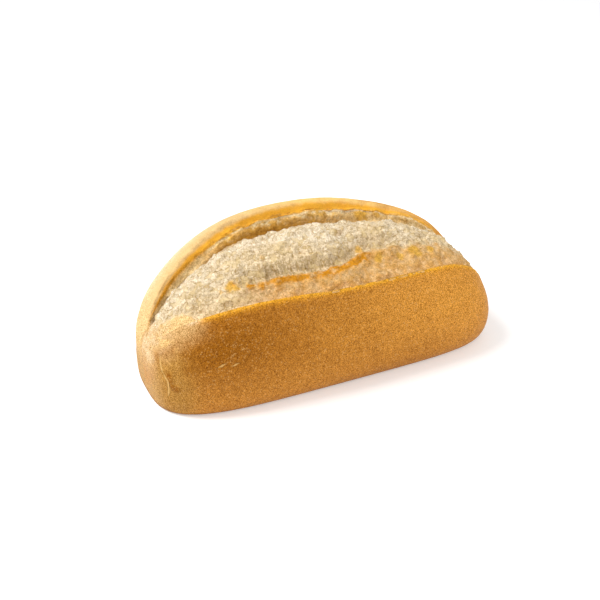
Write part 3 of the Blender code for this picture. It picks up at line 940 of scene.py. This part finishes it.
class BreadShader:
    """The painted colours, with the fine grain of crust and crumb over them."""

    def __init__(self, tree, look):
        w = Wire(tree)
        self.wire = w
        self.look = look
        self.place = w.node("ShaderNodeTexCoord", output="Object")
        self.tint = w.node("ShaderNodeAttribute", {"attribute_name": "tint"}, output="Color")
        self.crumb, self.torn, self.calm = (w.attribute(name) for name in ("crumb", "torn", "calm"))
        self.mottle = w.speckle(self.place, MOTTLE_SCALE, 3.0, 0.6)
        self.fine = w.speckle(self.place, FINE_SCALE, 3.0, 0.7)
        self.finest = w.speckle(self.place, DUST_SCALE, 1.0, 0.7)

    def crust(self):
        """Colour and height of the crust: grain, small blisters, wrinkles and creases."""
        w, look, mottle = self.wire, self.look, self.mottle
        quiet = 1.0 - self.calm * 0.75
        grainy = (self.fine.step(0.34, 0.66) - 0.5) * quiet
        dust = (self.finest.step(0.28, 0.72) - 0.5) * quiet
        skin = self.tint.grained(grainy * 0.36 + dust * 1.20 + (mottle - 0.5) * 0.42)
        specks = 1.0 - w.dots(self.place, SPECK_SCALE).step(0.12, 0.42)
        specks = specks * mottle.step(0.38, 0.60) * quiet
        skin = (specks * 0.45).between(skin, rgba(look.speck))
        wrinkles = w.speckle(self.place, WRINKLE_SCALE, 1.0, 0.5, 0.6)
        wrinkles = 1.0 - wrinkles.offset(0.5).step(0.0, 0.030)
        wrinkles = wrinkles * mottle.step(0.46, 0.56) * w.attribute("worn")
        skin = (wrinkles * 0.65).between(skin, rgba(look.speck))
        line = 1.0 - w.attribute("crease").offset(0.0).step(*CREASE_EDGE)
        line = line * w.attribute("creased")
        skin = (line * 0.55).between(skin, rgba(look.crest))
        return skin, mottle * 0.35 + self.fine * 0.30 + specks * 0.25 + wrinkles * 0.4 + line * 1.2

    def open_crumb(self):
        """Colour and height of the torn crumb: kernels, threads, and holes and seams with painted shade in
        them.
        """
        w, look, torn, calm = self.wire, self.look, self.torn, self.calm
        strands = w.attribute("strands")
        grain = w.speckle(self.place, GRAIN_SCALE, 3.0, 0.7).step(0.36, 0.64)
        drawn = w.node("ShaderNodeVectorMath", {"operation": "MULTIPLY"}, {0: self.place, 1: THREAD_DRAWN})
        threads = w.speckle(drawn, THREAD_SCALE, 2.0, 0.6).step(0.35, 0.65)
        warped = self.warped()
        kernel = w.kernels(warped, KERNEL_SCALE)
        kernelet = w.kernels(warped, KERNELET_SCALE)
        shares = (grain - 0.5) * 0.30 + (self.finest.step(0.34, 0.66) - 0.5) * 0.36
        shares = shares + (threads - 0.5) * strands * 0.70
        shares = shares + (kernel - 0.5) * 0.27 + (kernelet - 0.5) * 0.28
        crumbly = self.tint.grained(shares)
        # Painted shade in the seams between kernels and in the fine holes
        seams = w.seams(warped, KERNEL_SCALE).step(0.10, 0.0) * self.mottle.step(0.42, 0.56)
        holes = (1.0 - w.dots(warped, KERNELET_SCALE).step(0.08, 0.36)) * self.fine.step(0.46, 0.56)
        holes = (holes + seams).clamped() * (1.0 - torn * 0.85) * (1.0 - calm * 0.65)
        crumbly = (holes * 0.75).between(crumbly, rgba(look.pore_shade))
        buttery = kernel.step(0.72, 0.80) * self.crumb * (1.0 - calm)
        crumbly = (buttery * 0.50).between(crumbly, rgba(look.butter))
        return crumbly, grain * 0.8 - holes * 0.8 + threads * strands * 0.6

    def warped(self):
        """The place, moved a little by a noise so that kernels aren't all round."""
        w = self.wire
        inputs = {"Vector": self.place, "Scale": WARP_SCALE, "Detail": 2.0}
        shift = w.node("ShaderNodeTexNoise", None, inputs, 1)
        shift = w.node("ShaderNodeVectorMath", {"operation": "SCALE"}, {0: shift, 3: WARP_REACH})
        return w.node("ShaderNodeVectorMath", {"operation": "ADD"}, {0: self.place, 1: shift})

    def finish(self):
        """Joins crust and crumb by their masks, and feeds the surface."""
        skin, skin_height = self.crust()
        crumbly, crumb_height = self.open_crumb()
        opened = (self.crumb + self.torn).clamped()
        height = skin_height * (1.0 - opened) + crumb_height * opened
        bump = {"Strength": BUMP_STRENGTH, "Distance": BUMP_DEPTH, "Height": height}
        inputs = {
            "Base Color": opened.between(skin, crumbly),
            "Roughness": CRUST_ROUGHNESS + opened * CRUMB_ROUGHER_BY,
            "Specular IOR Level": SHINE,
            "Normal": self.wire.node("ShaderNodeBump", None, bump),
        }
        shader = self.wire.node("ShaderNodeBsdfPrincipled", None, inputs)
        self.wire.node("ShaderNodeOutputMaterial", None, {"Surface": shader})


def bread_material(look):
    material = bpy.data.materials.new("baked_bread")
    material.use_nodes = True
    material.node_tree.nodes.clear()
    BreadShader(material.node_tree, look).finish()
    return material


class RollSizes(bpy.types.PropertyGroup):
    length: FloatProperty(
        name="Length",
        description="Length of the roll from end to end",
        default=0.1507,
        unit="LENGTH",
    )
    width: FloatProperty(
        name="Width",
        description="Width of the roll at its widest",
        default=0.0698,
        unit="LENGTH",
    )


def colour_property(name, description, default):
    settings = {"subtype": "COLOR", "size": 3, "min": 0, "max": 1}
    return FloatVectorProperty(name=name, description=description, default=default, **settings)


class BreadLook(bpy.types.PropertyGroup):
    wall_brown: colour_property("Wall brown", "Crust of the left half", (0.335, 0.118, 0.010))
    wall_gold: colour_property("Wall gold", "Crust of the right half", (0.605, 0.262, 0.038))
    # Darkest patch of the near wall, and also the painted shade in the dents of the left end
    dark_crust_and_shade: colour_property("Wall dark", "Darkest patch of the near wall", (0.275, 0.092, 0.004))
    foot: colour_property("Foot", "Crust close over the floor", (0.465, 0.192, 0.030))
    underside: colour_property("Underside", "Baked underside", (0.300, 0.125, 0.022))
    nose: colour_property("Nose", "Crust of the left end, under its pale part", (0.405, 0.198, 0.038))
    crest: colour_property("Crest", "Golden crust of the crest's right half", (0.890, 0.550, 0.185))
    pale: colour_property("Pale crust", "Least baked crust of the left end and crest", (0.740, 0.490, 0.210))
    # Cream: flour on the left end and the pale edge of its flap, and the painted highlight along the crest's
    # rim
    cream_and_highlight: colour_property("Cream", "Palest rim of the crest", (0.880, 0.700, 0.470))
    lip: colour_property("Lip", "Crust just under the near lip", (0.610, 0.252, 0.014))
    # Torn edge of the crust, and also a painted highlight along the near lip's edge
    lip_edge: colour_property("Lip edge", "Torn edge of the crust", (0.820, 0.400, 0.030))
    band: colour_property("Band", "Smooth crust that turns in under the far lip", (0.830, 0.405, 0.036))
    speck: colour_property("Speck", "Small pale blisters of the crust", (0.720, 0.400, 0.130))
    crumb: colour_property("Crumb", "Torn crumb", (0.940, 0.730, 0.450))
    # Palest torn crumb, and also the painted highlight on the crumb's upper side and along the strip's rope
    flour: colour_property("Flour", "Palest torn crumb", (0.990, 0.850, 0.640))
    # Painted shade in the low spots, hollows and valleys of the torn crumb
    hollow_shade: colour_property("Pit", "Hollows of the torn crumb", (0.580, 0.395, 0.165))
    # Painted shade in the finest holes and the seams between kernels of the torn crumb
    pore_shade: colour_property("Hole", "Finest holes of the torn crumb", (0.570, 0.350, 0.115))
    butter: colour_property("Butter", "Yellow kernels of the torn crumb", (0.780, 0.560, 0.230))
    # Painted shade on the stretched crumb over the ridge
    shade: colour_property("Shade", "Stretched crumb over the ridge", (0.545, 0.375, 0.190))
    tan: colour_property("Tan", "Crumb between the near lip and the ridge", (0.790, 0.425, 0.120))
    stain: colour_property("Stain", "Browner stains of the crumb", (0.640, 0.420, 0.200))
    gold: colour_property("Gold", "Lightly toasted spots", (0.860, 0.480, 0.080))
    toast: colour_property("Toast", "Toasted ridge", (0.750, 0.305, 0.017))
    torn: colour_property("Torn strip", "Torn strip under the far lip", (0.800, 0.440, 0.110))
    # Pale lumps of the torn strip, and also the painted highlight on its lump tops and along its rope
    pale_lumps_and_highlight: colour_property("Pale lumps", "Pale lumps of the torn strip", (0.990, 0.800, 0.460))
    # Painted shade in the crevice and between the strip's lumps
    crevice: colour_property("Crevice", "Bottom of the torn strip", (0.470, 0.220, 0.032))


class StageLook(bpy.types.PropertyGroup):
    azimuth: FloatProperty(
        name="Azimuth",
        description="Turn of the camera round the roll; at 0 it looks along +Y",
        default=math.radians(-25.34),
        subtype="ANGLE",
    )
    elevation: FloatProperty(
        name="Elevation",
        description="Angle of the camera over the floor",
        default=math.radians(29.0),
        subtype="ANGLE",
    )
    distance: FloatProperty(
        name="Distance",
        description="Distance of the camera from the roll",
        default=0.375,
        unit="LENGTH",
    )
    floor: colour_property("Floor", "Colour of the floor", (0.90, 0.90, 0.90))


class BREAD_OT_add_roll(bpy.types.Operator):
    """Adds the roll, torn open along its score"""

    bl_idname = "bread.add_roll"
    bl_label = "Add roll"

    def execute(self, context):
        sizes = context.scene.roll_sizes
        surface = Surface(Loaf(sizes.length, sizes.width))
        surface.find_parts()
        surface.tear()
        surface.wrinkle()
        surface.paint(context.scene.bread_look)
        surface.centre()
        roll = roll_object(surface)
        roll.name = "baked_roll"
        roll.data.name = "baked_roll"
        roll.data.materials.append(bread_material(context.scene.bread_look))
        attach(roll, "root")
        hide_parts(NODE)
        return {"FINISHED"}


def add_camera(context, look):
    """The camera at the photograph's angle, aimed so that the roll lands where it does there."""
    a, e = look.azimuth, look.elevation
    back = Vector((math.sin(a) * math.cos(e), -math.cos(a) * math.cos(e), math.sin(e)))
    right = Vector((math.cos(a), math.sin(a), 0.0))
    up = back.cross(right)
    scale = look.distance / FOCAL_PIXELS
    aside = (AIM_PIXEL[0] - FRAME_PIXELS / 2) * scale
    above = (FRAME_PIXELS / 2 - AIM_PIXEL[1]) * scale
    target = Vector((0, 0, AIM_HEIGHT)) - right * aside - up * above
    data = bpy.data.cameras.new("camera")
    data.sensor_width = SENSOR_MM
    data.lens = FOCAL_PIXELS / FRAME_PIXELS * SENSOR_MM
    camera = bpy.data.objects.new("camera", data)
    camera.location = target + back * look.distance
    camera.rotation_mode = "QUATERNION"
    camera.rotation_quaternion = (-back).to_track_quat("-Z", "Y")
    context.scene.collection.objects.link(camera)
    context.scene.camera = camera


def add_softbox(context, name, place, size, watts):
    data = bpy.data.lights.new(name, "AREA")
    data.shape = "DISK"
    data.size = size
    data.energy = watts
    lamp = bpy.data.objects.new(name, data)
    lamp.location = place
    lamp.rotation_mode = "QUATERNION"
    lamp.rotation_quaternion = (Vector(LAMP_TARGET) - Vector(place)).to_track_quat("-Z", "Y")
    context.scene.collection.objects.link(lamp)


class BREAD_OT_add_stage(bpy.types.Operator):
    """Adds the floor, the soft light and the camera"""

    bl_idname = "bread.add_stage"
    bl_label = "Add stage"

    def execute(self, context):
        look = context.scene.stage_look
        bpy.ops.mesh.primitive_plane_add(size=FLOOR_SIZE)
        floor = context.object
        floor.name = "floor"
        material = bpy.data.materials.new("pale_floor")
        material.use_nodes = True
        shader = material.node_tree.nodes["Principled BSDF"]
        shader.inputs["Base Color"].default_value = rgba(look.floor)
        shader.inputs["Roughness"].default_value = FLOOR_ROUGHNESS
        shader.inputs["Emission Color"].default_value = rgba(look.floor)
        shader.inputs["Emission Strength"].default_value = FLOOR_GLOW
        floor.data.materials.append(material)
        world = bpy.data.worlds.new("studio")
        world.use_nodes = True
        background = world.node_tree.nodes["Background"]
        background.inputs["Color"].default_value = (1.0, 1.0, 1.0, 1.0)
        background.inputs["Strength"].default_value = BACKGROUND_STRENGTH
        context.scene.world = world
        for name, (place, size, watts) in LAMPS.items():
            add_softbox(context, name, place, size, watts)
        context.scene.view_settings.view_transform = "Standard"
        add_camera(context, look)
        return {"FINISHED"}


class BREAD_PT_panel(bpy.types.Panel):
    bl_idname = "BREAD_PT_panel"
    bl_label = "Bolillo roll"
    bl_space_type = "VIEW_3D"
    bl_region_type = "UI"
    bl_category = "Bread"

    def draw(self, context):
        layout = self.layout
        scene = context.scene
        for group in (scene.roll_sizes, scene.bread_look, scene.stage_look):
            for name in group.__annotations__:
                layout.prop(group, name)
        layout.operator(BREAD_OT_add_roll.bl_idname)
        layout.operator(BREAD_OT_add_stage.bl_idname)


GROUPS = {"roll_sizes": RollSizes, "bread_look": BreadLook, "stage_look": StageLook}
CLASSES = (RollSizes, BreadLook, StageLook, BREAD_OT_add_roll, BREAD_OT_add_stage, BREAD_PT_panel)


def register():
    for cls in CLASSES:
        bpy.utils.register_class(cls)
    for name, group in GROUPS.items():
        setattr(bpy.types.Scene, name, PointerProperty(type=group))


def unregister():
    for name in GROUPS:
        delattr(bpy.types.Scene, name)
    for cls in reversed(CLASSES):
        bpy.utils.unregister_class(cls)


def main():
    register()
    bpy.ops.bread.add_roll()
    bpy.ops.bread.add_stage()


if __name__ == "__main__":
    main()
